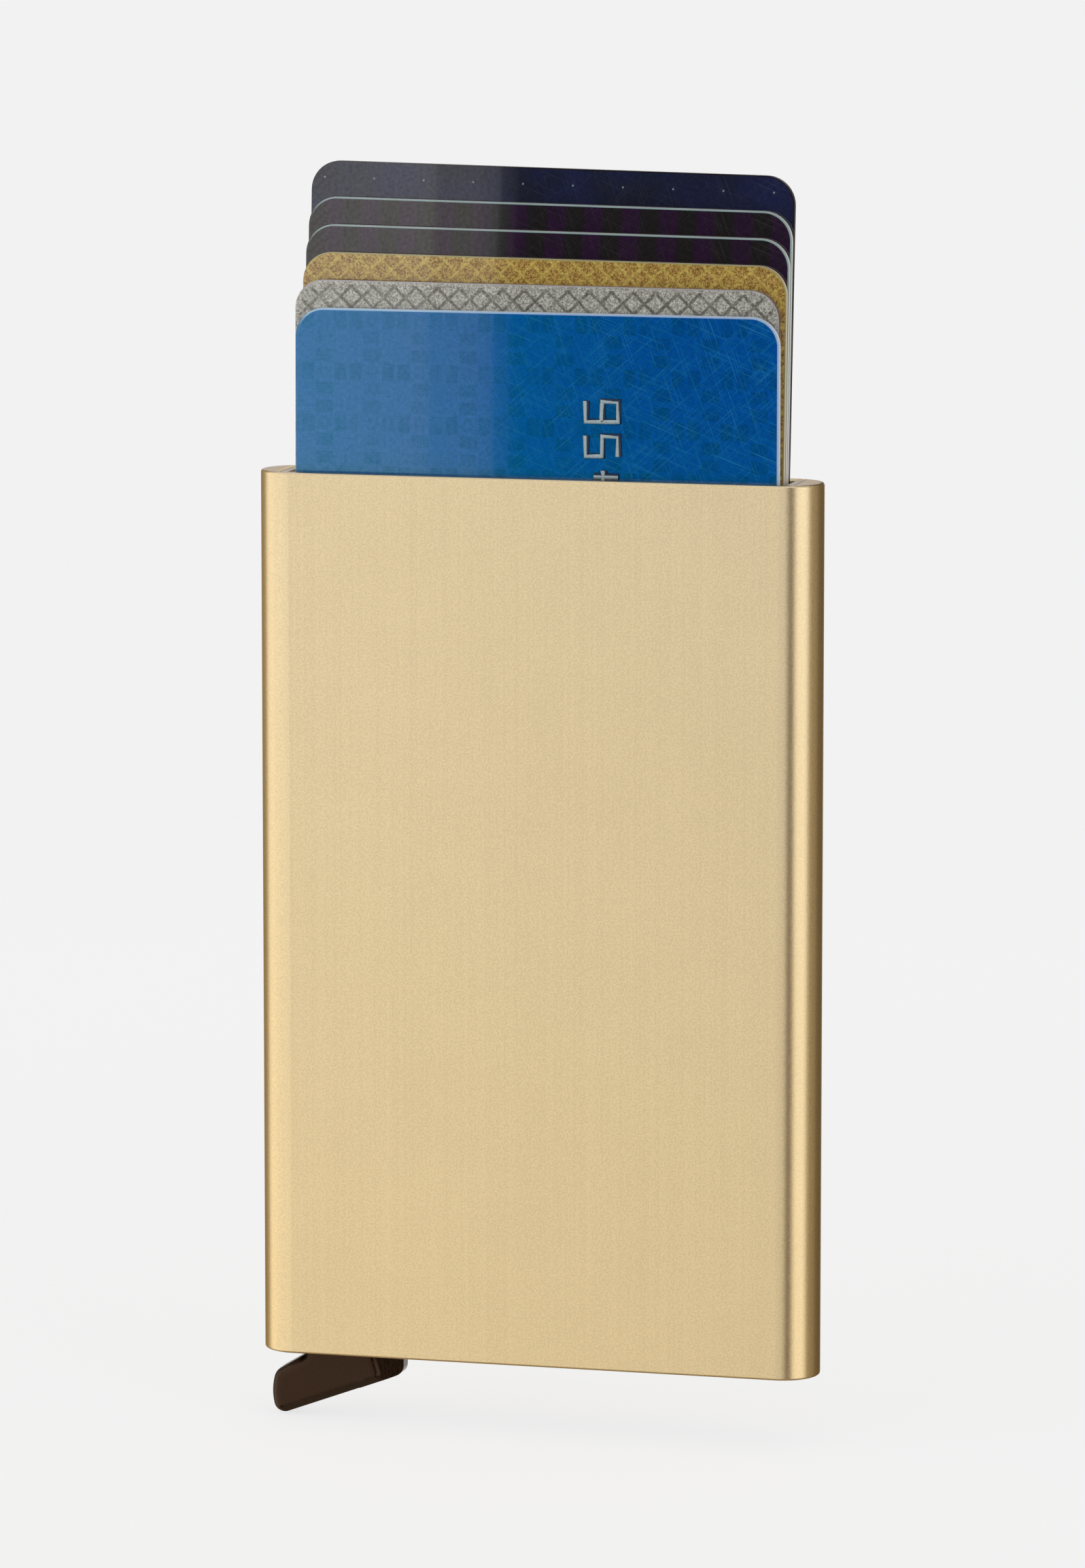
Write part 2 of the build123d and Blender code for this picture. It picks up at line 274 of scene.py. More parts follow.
pin_finish = new_finish("pin_ground_steel")
place = pin_finish.place()
grinding = pin_finish.noise(pin_finish.stretched(place, *grinding_lengths))
pin_finish.surface({
    "Base Color": pin_finish.mix(grinding, pin_steel_dull, pin_steel),
    "Metallic": 1.0,
    "Roughness": pin_roughness + grinding * grinding_roughness,
})
dress("pivot_pin", pin_finish)

# Card guides
# Two strips of pale slippery plastic that line the narrow ends of the slot, so that the cards
# never rub on the metal. A painted shadow line marks the gap between strip and metal.

guide_cream = seen(214, 198, 182)
guide_cream_rubbed = seen(196, 180, 164)
guide_roughness = 0.35
guide_gap_shade = seen(70, 56, 46)
gap_shade_width = 0.16
rub_lengths = (0.4, 0.4, 30.0)
rub_roughness = 0.15


def millimetres(corner):
    """A corner of a piece in millimetres."""
    return Vector([per_metre * value for value in corner])


guide_finish = new_finish("guide_pale_plastic")
place = guide_finish.place()
rubbing = guide_finish.noise(guide_finish.stretched(place, *rub_lengths))
guide_side = millimetres(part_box("right_card_guide")[1]).x
# Painted shade: a dark line along the outer side of each strip, in the gap next to the metal.
gap_shade = abs(guide_finish.parts(place)[0]) > guide_side - gap_shade_width
cream = guide_finish.mix(rubbing, guide_cream, guide_cream_rubbed)
guide_finish.surface({
    "Base Color": guide_finish.mix(gap_shade, cream, guide_gap_shade),
    "Roughness": guide_roughness + rubbing * rub_roughness,
})
dress("left_card_guide", guide_finish)
dress("right_card_guide", guide_finish)

# Grip pads
# Four patches of black felt, glued inside the mouth before and behind the stack. Their pile
# presses on the outer cards and holds the stack at any height. They leave the middle free.

pad_width = 0.012
pad_corner = 0.0015
pad_rim = 0.00012
pad_profile = [(0.0, 1.0), (0.0, 0.5), (0.4, 0.12), (1.0, 0.0)]
corner_steps = 6
felt_black = seen(30, 29, 30)
felt_fluff = seen(74, 72, 72)
felt_roughness = 0.95
felt_sheen = 0.4
fluff_range = (0.35, 0.75)
pile_lengths = (1.0, 1.0, 2.2)
pile_grain = 0.22
pile_depth = 0.00008

felt_finish = new_finish("grip_felt")
place = felt_finish.place()
pile = felt_finish.noise(felt_finish.stretched(place, *pile_lengths), pile_grain, detail=4.0)
felt_finish.surface({
    "Base Color": felt_finish.mix(pile.rise(*fluff_range), felt_black, felt_fluff),
    "Roughness": felt_roughness,
    "Sheen Weight": felt_sheen,
    "Normal": felt_finish.relief(pile, pile_depth),
})


def rounded_outline(left, right, bottom, top, corner):
    """Points round an upright oblong with rounded corners, in X and Z."""
    middles = [(right, top, 0), (left, top, 1), (left, bottom, 2), (right, bottom, 3)]
    points = []
    for x, z, quarter in middles:
        inward_x = -corner if x == right else corner
        inward_z = -corner if z == top else corner
        for step in range(corner_steps + 1):
            turn = (quarter + step / corner_steps) * math.pi / 2
            points.append((x + inward_x + corner * math.cos(turn), z + inward_z + corner * math.sin(turn)))
    return points


def new_piece(name, mesh, finish):
    """A new object with its mesh, which is in metres, and its finish."""
    mesh.materials.append(finish.owner)
    piece = bpy.data.objects.new(name, mesh)
    bpy.context.scene.collection.objects.link(piece)
    return piece


def felt_patch(body, left, right, bottom, top, wall, face):
    """One patch: glued flat on the wall, with a rolled rim towards the cards."""
    rings = []
    for inset, height in pad_profile:
        step = inset * pad_rim
        depth = face + (wall - face) * height
        outline = rounded_outline(left + step, right - step, bottom + step, top - step, pad_corner - step)
        rings.append([body.verts.new((x, depth, z)) for x, z in outline])
    for outer, inner in zip(rings, rings[1:]):
        for index in range(len(outer)):
            following = (index + 1) % len(outer)
            body.faces.new((outer[index], outer[following], inner[following], inner[index]))
    body.faces.new(rings[0])
    body.faces.new(rings[-1])


def grip_pads(node, wall_is_front):
    """Both patches on one wall, in the place of the CAD pads."""
    low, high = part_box(node)
    wall, face = (low.y, high.y) if wall_is_front else (high.y, low.y)
    body = bmesh.new()
    felt_patch(body, low.x, low.x + pad_width, low.z, high.z, wall, face)
    felt_patch(body, high.x - pad_width, high.x, low.z, high.z, wall, face)
    bmesh.ops.recalc_face_normals(body, faces=body.faces)
    mesh = bpy.data.meshes.new("felt_" + node)
    body.to_mesh(mesh)
    body.free()
    piece = new_piece("felt_" + node, mesh, felt_finish)
    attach(piece, "case")
    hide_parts(node)


grip_pads("front_grip_pads", True)
grip_pads("rear_grip_pads", False)

# Lever
# One dark brown nylon moulding: a hub on the pin, an arm with a step under each card, and the
# finger tab that hangs out at the bottom. The tool was spark eroded, which leaves a fine matt grain.

lever_brown = seen(15, 8, 4)
lever_brown_light = seen(32, 18, 10)
lever_light_range = (0.35, 0.75)
lever_gloss = (1.0, 0.58, 0.36)
lever_gloss_level = 0.45
lever_roughness = 0.15
lever_grain = 0.2
lever_depth = 0.00002
handling_patch = 2.5
patch_roughness = 0.08

lever_finish = new_finish("lever_brown_nylon")
place = lever_finish.place()
grain = lever_finish.noise(place, lever_grain)
handling = lever_finish.noise(place, handling_patch)
lever_finish.surface({
    "Base Color": lever_finish.mix(grain.rise(*lever_light_range), lever_brown, lever_brown_light),
    "Specular IOR Level": lever_gloss_level,
    "Specular Tint": lever_gloss,
    "Roughness": lever_roughness + (handling + grain) * patch_roughness,
    "Normal": lever_finish.relief(grain, lever_depth),
})
dress("ejector_lever", lever_finish)

# Cards
# Six standard plastic cards, 85.6 by 54 by 0.76 mm: a printed core between two clear films, worn by use.
# The punched edge shows the core. A painted highlight makes a bright band round the front, except along the
# left side.

card_width = 53.98
card_length = 85.6
card_corner = 3.18
card_ior = 1.6
edge_roughness = 0.45
face_roughness = 0.14
face_tilt = 0.5
film_thickness = 0.07
film_ior = 1.7
film_roughness = 0.02
highlight_softness = (0.7, 1.3)
scratch_lengths = (0.05, 1.0, 6.0)
scratch_range = (0.66, 0.74)
scratch_depth = 0.000002
scratch_turns = (0.35, 1.2, 2.3)
scratch_pale = seen(150, 150, 150)
scratch_pale_share = 0.06
scratch_roughness = 0.1
scratch_dulling = 0.2
wear_grain = 0.4
wear_patch = 6.0
print_least = 0.55
print_wear = 0.9
gloss_least = 0.35
gloss_grain_share = 0.8
gloss_patch_share = 0.2
stripe_reach = (-23.0, -10.3)
stripe_brown = seen(38, 26, 24)
panel_reach_across = (-6.0, 3.0)
panel_reach_along = (-34.8, 19.2)
panel_white = seen(226, 224, 214)
panel_line = seen(176, 180, 182)
panel_line_step = 0.9
panel_line_width = 0.13
panel_line_share = 0.6
back_print = seen(196, 198, 202)


def on_card(finish, node):
    """Place on a card from its own middle, X across it and Z along it, however it leans in the slot."""
    low, high = [millimetres(corner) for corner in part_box(node)]
    middle = (low + high) / 2
    lean = (high.x - low.x - card_width) / (card_length - 2 * card_corner)
    offset = finish.node("VectorMath", {"operation": "SUBTRACT"}, {0: finish.place(), 1: middle})
    return finish.node("VectorRotate", {"rotation_type": "Y_AXIS"}, {"Vector": offset, "Angle": -lean})


def hair_scratches(finish, place):
    """Thin lines in three directions, 1 on a scratch and 0 between them."""
    found = 0.0
    for turn in scratch_turns:
        turned = finish.node("VectorRotate", {"rotation_type": "Y_AXIS"}, {"Vector": place, "Angle": turn})
        lines = finish.noise(finish.stretched(turned, *scratch_lengths), detail=1.0)
        found = lines.rise(*scratch_range) + found
    return found.least(1.0)


def from_card_edge(across, along):
    """How far inside the card's outline a place is, up to the radius of its corners."""
    past_side = (abs(across) - (card_width / 2 - card_corner)).most(0.0)
    past_end = (abs(along) - (card_length / 2 - card_corner)).most(0.0)
    return card_corner - past_side.beside(past_end)


def spaced(value, step):
    """Distance from the nearest of evenly spaced lines."""
    return abs((value / step) % 1.0 - 0.5) * step


def card_back(finish, across, along):
    """The back of a card: magnetic stripe, and signature panel with fine slanting lines."""
    stripe = across.within(*stripe_reach)
    panel = across.within(*panel_reach_across) * along.within(*panel_reach_along)
    slant = (spaced(across + along, panel_line_step) < panel_line_width) * panel_line_share
    plain = finish.mix(stripe, back_print, stripe_brown)
    return finish.mix(panel, plain, finish.mix(slant, panel_white, panel_line))


def card_front(finish, across, along, scratches, worn, print_colour, rim, highlight_width):
    """The front of a card: worn and scratched print, inside a bright band of painted edge highlight."""
    print_colour = finish.scaled(print_colour, print_least + worn * print_wear)
    print_colour = finish.mix(scratches * scratch_pale_share, print_colour, scratch_pale)
    # Painted highlight: a bright band inside the front's outline, left out along the left side.
    unhighlit_left_side = 1.0 - across.rise(-card_width / 2, (card_corner - card_width) / 2)
    edge_range = [highlight_width * softness for softness in highlight_softness]
    inside = from_card_edge(across, along).rise(*edge_range).most(unhighlit_left_side)
    return finish.mix(inside, rim, print_colour)


def card_finish(node, printed, core, film, rim, highlight_width, film_gloss, foil=0.0, ink_gloss=(0.0, 0.0, 0.0)):
    """A card's finish: print in front, stripe and panel behind, and core and film at the edge."""
    finish = new_finish(node + "_laminate")
    place = on_card(finish, node)
    across, depth, along = finish.parts(place)
    facing = finish.parts(finish.facing())[1]
    low, high = [millimetres(corner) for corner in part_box(node)]
    half_thickness = (high.y - low.y) / 2
    scratches = hair_scratches(finish, place)
    worn = finish.noise(place, wear_grain, detail=4.0)
    patches = finish.noise(place, wear_patch)
    print_colour, broken_gloss = printed(finish, place)
    gloss = gloss_least + worn * gloss_grain_share + patches * gloss_patch_share
    gloss = gloss - scratches * scratch_dulling - broken_gloss
    front = card_front(finish, across, along, scratches, worn, print_colour, rim, highlight_width)
    edge = finish.mix(abs(depth) > half_thickness - film_thickness, core, film)
    behind = finish.mix(facing > face_tilt, edge, card_back(finish, across, along))
    is_front = facing < -face_tilt
    is_face = abs(facing) > face_tilt
    smoother = is_face * (edge_roughness - face_roughness)
    finish.surface({
        "Base Color": finish.mix(is_front, behind, front),
        "Metallic": is_front * foil,
        "Roughness": edge_roughness - smoother + scratches * scratch_roughness,
        "Specular IOR Level": 1.0,
        "Specular Tint": ink_gloss,
        "IOR": card_ior,
        "Coat Weight": is_face * gloss * film_gloss,
        "Coat Roughness": film_roughness,
        "Coat IOR": film_ior,
        "Normal": finish.relief(scratches, scratch_depth),
    })
    dress(node, finish)


# Blue card
# A bank card printed as a woven check in two blues: crossing bands of paired dark blocks, parted by
# fine light threads. A painted reflection makes the check fainter towards its left. Its clear blue ink has
# a gloss of its own under the film.

blue_light = seen(0, 54, 158)
blue_dark = seen(0, 26, 112)
blue_ink_gloss = (0.0, 1.0, 1.0)
blue_core = seen(240, 238, 246)
blue_film = seen(212, 214, 238)
blue_edge_highlight = seen(176, 190, 226)
blue_highlight_width = 0.2
check_step = (5.4, 5.6)
check_shift = (-0.6, 0.4)
band_half_width = 0.95
block_reach = (1.15, 2.5)
block_least = 0.22
block_wear = 0.4
reflection_wash_reach = (-12.0, 4.0)
reflection_wash_share = 0.5
ink_patch = 3.5
ink_range = (0.3, 0.7)
knot_ring = (0.3, 0.75)
knot_share = 0.15
thread_step = 0.31
thread_width = 0.06
thread_share = 0.08
fleck_grain = 0.16
fleck_share = 0.6
fleck_level = 0.2
wander_grain = 0.35
wander_reach = 0.12
ink_dulling = 0.5


def blue_print(finish, place):
    """The check, with rings where its bands cross, and threads. Its dark ink breaks the film's gloss."""
    wander = finish.noise(place, wander_grain) * wander_reach
    across, _, along = finish.parts(place)
    aside = spaced(across + wander + check_shift[0], check_step[0])
    ahead = spaced(along + wander + check_shift[1], check_step[1])
    blocks = (aside < band_half_width) * ahead.within(*block_reach)
    blocks = blocks + (ahead < band_half_width) * aside.within(*block_reach)
    inked = block_least + finish.noise(place, ink_patch).rise(*ink_range) * block_wear
    # Painted reflection: the dark blocks are inked more faintly towards the left.
    inked = inked * (reflection_wash_share + across.rise(*reflection_wash_reach) * (1.0 - reflection_wash_share))
    ring = aside.beside(ahead).within(*knot_ring)
    threads = (spaced(across, thread_step) < thread_width) + (spaced(along, thread_step) < thread_width)
    flecks = finish.noise(place, fleck_grain) * fleck_share - fleck_level
    darkness = blocks * inked + ring * knot_share + threads * thread_share + flecks
    darkness = darkness.most(0.0).least(1.0)
    return finish.mix(darkness, blue_light, blue_dark), darkness * ink_dulling


card_finish("card_blue", blue_print, blue_core, blue_film, blue_edge_highlight, blue_highlight_width,
            film_gloss=0.94, ink_gloss=blue_ink_gloss)

# Silver card
# A member card printed on a silver base full of fine glitter, with a lattice of dark diamonds
# inside a plain border.

silver_light = seen(209, 208, 198)
silver_dark = seen(124, 121, 113)
silver_line = seen(72, 66, 60)
silver_core = seen(112, 96, 92)
silver_film = seen(190, 184, 184)
silver_edge_highlight = seen(176, 170, 172)
highlight_width = 0.12
diamond_width = 2.43
diamond_height = 2.33
diamond_line = 0.22
line_softness = (0.6, 1.5)
lattice_from_top = 0.6
glitter_grain = 0.15
glitter_range = (0.3, 0.72)
plain_border = 0.45
crumble_grain = 0.3
crumble_range = (0.25, 0.5)
fade_patch = 3.0
fade_range = (0.1, 0.5)
silver_line_share = 0.72


def inked_line(nearest, half_width):
    """1 near the middle of a line, softly falling to 0 beside it."""
    return 1.0 - nearest.rise(*[half_width * softness for softness in line_softness])


def diamond_lines(finish, place, line):
    """1 on the lines of a diamond lattice and 0 between them."""
    across, _, along = finish.parts(place)
    wide = across / diamond_width
    high = (along - card_length / 2 + lattice_from_top) / diamond_height
    nearest = spaced(wide + high, 1.0).least(spaced(wide - high, 1.0)) * diamond_height
    return inked_line(nearest, line)


def glitter(finish, place):
    """Bright and dark grains, from 0 to 1."""
    return finish.noise(place, glitter_grain, detail=3.0).rise(*glitter_range)


def silver_print(finish, place):
    """Glitter with the lattice over it, crumbled and faded in places."""
    across, _, along = finish.parts(place)
    base = finish.mix(glitter(finish, place), silver_dark, silver_light)
    crumbled = finish.noise(place, crumble_grain).rise(*crumble_range)
    faded = finish.noise(place, fade_patch).rise(*fade_range)
    bordered = from_card_edge(across, along) > plain_border
    lines = diamond_lines(finish, place, diamond_line) * crumbled * faded * bordered
    return finish.mix(lines * silver_line_share, base, silver_line), 0.0


card_finish("card_silver", silver_print, silver_core, silver_film, silver_edge_highlight, highlight_width,
            film_gloss=1.0, foil=0.03)

# Gold card
# The same kind of card on a gold base, with paler diamonds that show as raised thread. Its film is
# a little glossier, and the foil under it shows more.

gold_light = seen(208, 173, 98)
gold_dark = seen(118, 86, 38)
gold_line = seen(220, 200, 104)
gold_core = seen(224, 210, 184)
gold_film = seen(196, 174, 126)
gold_edge_highlight = seen(168, 160, 108)
gold_line_width = 0.2
gold_line_share = 0.5
gold_crumble_grain = 0.35
gold_crumble_range = (0.25, 0.6)


def gold_print(finish, place):
    """Gold glitter with a pale lattice."""
    base = finish.mix(glitter(finish, place), gold_dark, gold_light)
    crumbled = finish.noise(place, gold_crumble_grain).rise(*gold_crumble_range)
    lines = diamond_lines(finish, place, gold_line_width) * crumbled
    return finish.mix(lines * gold_line_share, base, gold_line), 0.0


card_finish("card_gold", gold_print, gold_core, gold_film, gold_edge_highlight, highlight_width,
            film_gloss=1.22, foil=0.06)

# Black cards
# Two cards printed nearly black, in upright bars that are purple and greenish by turns. Their white
# core shows as a pale line round each.

black_purple = seen(43, 23, 50)
black_green = seen(32, 29, 31)
black_core = seen(226, 226, 218)
black_film = seen(150, 160, 158)
black_edge_highlight = seen(150, 172, 172)
black_highlight_width = 0.16
bar_pair = 4.16
bar_shift = -0.87
bar_edge = (0.22 * bar_pair, 0.28 * bar_pair)
bar_ink_patch = 1.5
bar_ink_range = (0.2, 0.7)
bar_ink_least = 0.5


def black_print(finish, place):
    """Upright bars, unevenly inked."""
    across = finish.parts(place)[0]
    bars = spaced(across + bar_shift, bar_pair).rise(*bar_edge)
    inked = finish.noise(place, bar_ink_patch).rise(*bar_ink_range) * (1.0 - bar_ink_least) + bar_ink_least
    return finish.mix(bars * inked, black_green, black_purple), 0.0


for node in ("card_black_front", "card_black_rear"):
    card_finish(node, black_print, black_core, black_film, black_edge_highlight, black_highlight_width, film_gloss=1.19)

# Navy card
# A night blue card with rows of tiny pale dots on a clouded ground. Its core is dark, so its edge
# doesn't stand out.

navy_base = seen(31, 36, 69)
navy_cloud = seen(28, 32, 47)
navy_dot = seen(126, 142, 150)
navy_core = seen(60, 50, 52)
navy_film = seen(30, 26, 32)
dot_step_across = 5.58
dot_shift = 0.38
dot_step_along = 8.0
dot_first_row = 1.8
dot_radius = 0.1
cloud_patch = 7.0
cloud_range = (0.3, 0.7)


def navy_print(finish, place):
    """A clouded ground with dots on a wide grid."""
    across, _, along = finish.parts(place)
    from_top = along - (card_length / 2 - dot_first_row) + dot_step_along / 2
    from_dot = spaced(across + dot_shift, dot_step_across).beside(spaced(from_top, dot_step_along))
    ground = finish.mix(finish.noise(place, cloud_patch).rise(*cloud_range), navy_base, navy_cloud)
    return finish.mix(inked_line(from_dot, dot_radius), ground, navy_dot), 0.0


card_finish("card_navy", navy_print, navy_core, navy_film, navy_film, highlight_width, film_gloss=1.17)

# Chip modules
# Gold plated contact plates, let into the cards' faces. Fine cuts part each plate into its
# contacts: three on each side and a field in the middle.

contact_gold = seen(226, 190, 112)
contact_gold_worn = seen(198, 164, 98)
contact_cut = seen(60, 48, 30)
contact_roughness = 0.25
contact_wear_patch = 0.8
contact_wear_roughness = 0.15
chip_across = -3.09
chip_along = -27.8
chip_height = 13.0
cut_width = 0.09
cut_depth = 0.00002
cut_metal_loss = 0.7
cut_rows = 3
field_half_width = 1.9

for name in ("blue", "silver", "gold", "black_front", "black_rear", "navy"):
    finish = new_finish("chip_" + name + "_contacts")
    place = on_card(finish, "card_" + name)
    across, _, along = finish.parts(place)
    from_middle = abs(across - chip_across)
    rows = spaced(along - chip_along, chip_height / cut_rows)
    row_cuts = (rows < cut_width) * (from_middle > field_half_width)
    cuts = (abs(from_middle - field_half_width) < cut_width).most(row_cuts)
    wear = finish.noise(place, contact_wear_patch)
    finish.surface({
        "Base Color": finish.mix(cuts, finish.mix(wear, contact_gold, contact_gold_worn), contact_cut),
        "Metallic": 1.0 - cuts * cut_metal_loss,
        "Roughness": contact_roughness + wear * contact_wear_roughness,
        "Normal": finish.relief(1.0 - cuts, cut_depth),
    })
    dress("chip_" + name, finish)

# Raised number
# The blue card's number, stamped up from behind: the plain running count of a sample card, reading upwards.
# Silver foil was rolled on from one side, and left the far flank of each stroke bare.
# Silver foil tips each stroke; its upper right flank is painted dark blue as shade.

number_text = "1234 5678 9012 3456"
digit_pitch = 0.00375
digit_height = 0.0036
digit_width = 0.0022
digit_stroke = 0.0004
stroke_facets = 3
number_from_top = 0.0094
number_from_right = 0.0195
digit_strokes = {
    "0": [[(0, 0), (0, 1), (1, 1), (1, 0), (0, 0)]],
    "1": [[(0.1, 0.8), (0.55, 1), (0.55, 0)], [(0, 0), (1, 0)]],
    "2": [[(0, 1), (1, 1), (1, 0.5), (0, 0.5), (0, 0), (1, 0)]],
    "3": [[(0, 1), (1, 1), (1, 0), (0, 0)], [(0.3, 0.5), (1, 0.5)]],
    "4": [[(0, 1), (0, 0.45), (1, 0.45)], [(0.7, 0.75), (0.7, 0)]],
    "5": [[(1, 1), (0, 1), (0, 0.5), (1, 0.5), (1, 0), (0, 0)]],
    "6": [[(1, 1), (0, 1), (0, 0), (1, 0), (1, 0.5), (0, 0.5)]],
    "7": [[(0, 1), (1, 1), (1, 0.65), (0.4, 0)]],
    "8": [[(0, 0), (0, 1), (1, 1), (1, 0), (0, 0)], [(0, 0.5), (1, 0.5)]],
    "9": [[(0, 0), (1, 0), (1, 1), (0, 1), (0, 0.5), (1, 0.5)]],
}
foil_silver = seen(186, 202, 206)
foil_rubbed = seen(128, 146, 156)
foil_grain = 0.25
foil_metal = 0.35
foil_roughness = 0.4
foil_grain_roughness = 0.1
light_side = (-0.55, -0.8, -0.55)
light_side_range = (0.5, 0.62)
painted_flank_shade = seen(6, 34, 66)

foil_finish = new_finish("number_foil")
place = foil_finish.place()
rubbing = foil_finish.noise(place, foil_grain)
sockets = {0: foil_finish.facing(), 1: light_side}
# Painted shade: each stroke's flank that faces up and right is dark blue, without foil.
foil_on_lit_flank = foil_finish.node("VectorMath", {"operation": "DOT_PRODUCT"}, sockets, "Value")
foil_on_lit_flank = foil_on_lit_flank.rise(*light_side_range)
foil_finish.surface({
    "Base Color": foil_finish.mix(foil_on_lit_flank, painted_flank_shade, foil_finish.mix(rubbing, foil_rubbed, foil_silver)),
    "Metallic": foil_on_lit_flank * foil_metal,
    "Roughness": foil_roughness + rubbing * foil_grain_roughness,
})


def stroke_path(curve, points):
    """One stroke of a digit, as a line of straight runs."""
    path = curve.splines.new("POLY")
    path.points.add(len(points) - 1)
    for index, point in enumerate(points):
        path.points[index].co = (*point, 1.0)


def raised_number(node, body):
    """The whole number on a card's front, turned to read upwards."""
    low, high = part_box(node)
    curve = bpy.data.curves.new("raised_number", "CURVE")
    curve.dimensions = "3D"
    curve.bevel_depth = digit_stroke
    curve.bevel_resolution = stroke_facets
    curve.use_fill_caps = True
    base_x = high.x - number_from_right + digit_height / 2
    for index, letter in enumerate(reversed(number_text)):
        right_z = high.z - number_from_top - index * digit_pitch
        for stroke in digit_strokes.get(letter, []):
            points = []
            for along, up in stroke:
                points.append((base_x - up * digit_height, low.y, right_z - (1 - along) * digit_width))
            stroke_path(curve, points)
    holder = bpy.data.objects.new("number_lines", curve)
    bpy.context.scene.collection.objects.link(holder)
    mesh = bpy.data.meshes.new_from_object(holder.evaluated_get(bpy.context.evaluated_depsgraph_get()))
    bpy.data.objects.remove(holder)
    mesh.materials.clear()
    piece = new_piece("raised_number", mesh, foil_finish)
    for face in mesh.polygons:
        face.use_smooth = True
    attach(piece, body)


raised_number("card_blue", "blue_card")

# Studio
# A pale floor and sky, with a wide soft lamp at the left and a narrower one at the right. Dark brown boards
# beside, below and before the object, two of them close to its right edge, are seen by its gloss alone.

backdrop_pale = seen(242, 242, 242)
near_pale = (1.0, 1.0, 1.0)
room_light = (0.5, 0.5, 0.5)
floor_white = seen(240, 240, 240)
floor_height = -0.0565
floor_reach = 6.0
shadow_reach = (0.12, 0.45)
shadow_share = 0.25
left_lamp_height = 1.6
right_lamp_height = 1.4
lamp_distance = 0.9
lamp_border_distance = 1.21
board_brown = (1.1, 0.9, 0.62)
board_deep_brown = (1.2, 0.5, 0.1)
black_light = 0.02
deep_brown_light = 0.06
grey_light = 0.15
mid_grey_light = 0.32
screen_facets = 24
screen_height = 1.5
screen_distance = 1.6
far_screen_span = (-0.31, -0.09)
far_screen_distance = 3.0
under_screen_reach = 0.3
under_screen_height = -0.35
near_board_start = (0.0388, -0.0006)
near_board_end = (0.0324, 0.006)
near_board_span = (-0.062, 0.05)
card_board_end = (0.0288, 0.0075)
card_board_top = 0.09
one_face = [(0, 1, 2, 3)]


def studio_rays(finish):
    """1 for rays that should show the pale backdrop: to the eye, in gloss and through glass."""
    found = finish.node("LightPath", {}, {}, "Is Camera Ray")
    for kind in ("Is Glossy Ray", "Is Transmission Ray"):
        found = found.most(finish.node("LightPath", {}, {}, kind))
    return found


def direction(turn, rise=0.0):
    """A direction from the object, turned from the front towards +X and raised, in degrees."""
    turn = math.radians(turn)
    rise = math.radians(rise)
    return Vector((math.sin(turn) * math.cos(rise), -math.cos(turn) * math.cos(rise), math.sin(rise)))


def looking_at(aim, away, distance):
    """Where something stands that looks at a point."""
    turned = away.to_track_quat("Z", "Y").to_matrix().to_4x4()
    return Matrix.Translation(aim + away * distance) @ turned


def soft_lamp(name, first_turn, last_turn, height, distance, radiance):
    """A soft box that fills the view between two directions, of one brightness all over."""
    lamp = bpy.data.lights.new(name, "AREA")
    lamp.shape = "RECTANGLE"
    lamp.size = 2 * distance * math.tan(math.radians(last_turn - first_turn) / 2)
    lamp.size_y = height
    lamp.energy = radiance * math.pi * lamp.size * lamp.size_y
    holder = bpy.data.objects.new(name, lamp)
    holder.matrix_world = looking_at(Vector(), direction((first_turn + last_turn) / 2), distance)
    holder.visible_camera = False
    bpy.context.scene.collection.objects.link(holder)


def studio_sheet(name, corners, faces, finish):
    """A sheet with its finish, not attached to any body of the object."""
    mesh = bpy.data.meshes.new(name)
    mesh.from_pydata(corners, [], faces)
    sheet = new_piece(name, mesh, finish)
    return sheet


def level_corners(reach, height):
    """The corners of a level square sheet round the object."""
    return [(x * reach, y * reach, height) for x, y in ((-1, -1), (1, -1), (1, 1), (-1, 1))]


def gloss_only(sheet):
    """Hides a sheet from everything but the gloss of the object."""
    sheet.visible_camera = False
    sheet.visible_diffuse = False
    sheet.visible_shadow = False


def dark_screen(name, first_turn, last_turn, finish, span=(-screen_height, screen_height),
                distance=screen_distance):
    """A curved upright screen between two directions."""
    corners = []
    for step in range(screen_facets + 1):
        foot = direction(first_turn + (last_turn - first_turn) * step / screen_facets) * distance
        corners += [(foot.x, foot.y, height) for height in span]
    faces = [(2 * step, 2 * step + 2, 2 * step + 3, 2 * step + 1) for step in range(screen_facets)]
    gloss_only(studio_sheet(name, corners, faces, finish))


def near_board(name, start, end, low, high, finish):
    """A small upright board close to one side, which the flat back never sees."""
    corners = [(*start, low), (*end, low), (*end, high), (*start, high)]
    gloss_only(studio_sheet(name, corners, one_face, finish))


def dark_finish(name, light, brown=board_brown):
    """The plain brown of a board, as the gloss shows it."""
    finish = new_finish(name)
    finish.surface({
        "Base Color": (0.0, 0.0, 0.0),
        "Roughness": 1.0,
        "Specular IOR Level": 0.0,
        "Emission Color": tuple(light * share for share in brown),
        "Emission Strength": 1.0,
    })
    return finish


world = bpy.data.worlds.new("studio")
bpy.context.scene.world = world
sky = Finish(world)
sky_colour = sky.mix(studio_rays(sky), room_light, backdrop_pale)
sky.feed(sky.tree.nodes["Background"].inputs["Color"], sky_colour)

